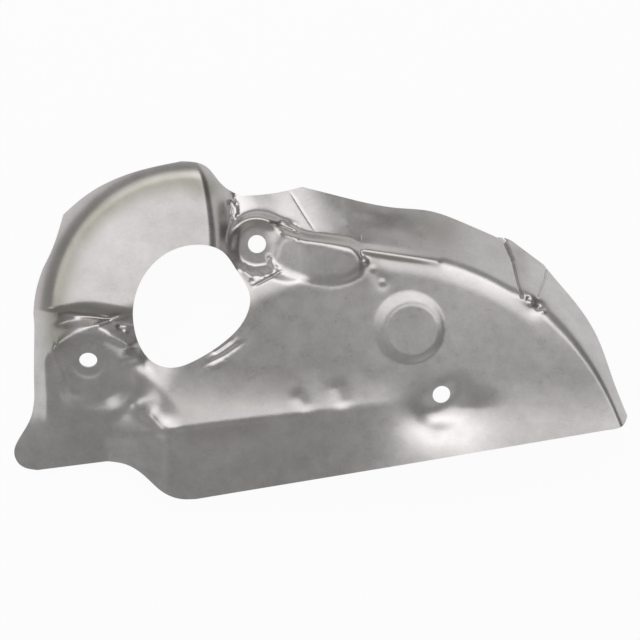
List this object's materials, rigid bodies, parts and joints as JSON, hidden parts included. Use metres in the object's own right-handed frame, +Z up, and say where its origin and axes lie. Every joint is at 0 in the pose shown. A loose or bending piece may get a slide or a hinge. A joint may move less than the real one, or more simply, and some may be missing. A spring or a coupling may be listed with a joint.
{
  "type": "heat shield",
  "caption": "Pressed sheet-steel heat shield with a pipe port, sunk bolt seats, a round boss and a deep curved skirt, bolted over a hot exhaust part to keep its heat from what lies beside it.",
  "frame": {"origin": "on the floor under the middle of the shield's bounding box", "axes": "+X along the length towards the rounded tip, +Y towards the skirt and ring, +Z up out of the outer face; the shield lies hollow side down"},
  "size_m": [0.307, 0.1698, 0.0432],
  "materials": {
    "shield_sheet": "bare coated steel sheet, softly mottled, with brighter rubbed bends"
  },
  "bodies": {
    "root": {"shield_panel": "shield_sheet"}
  },
  "joints": []
}
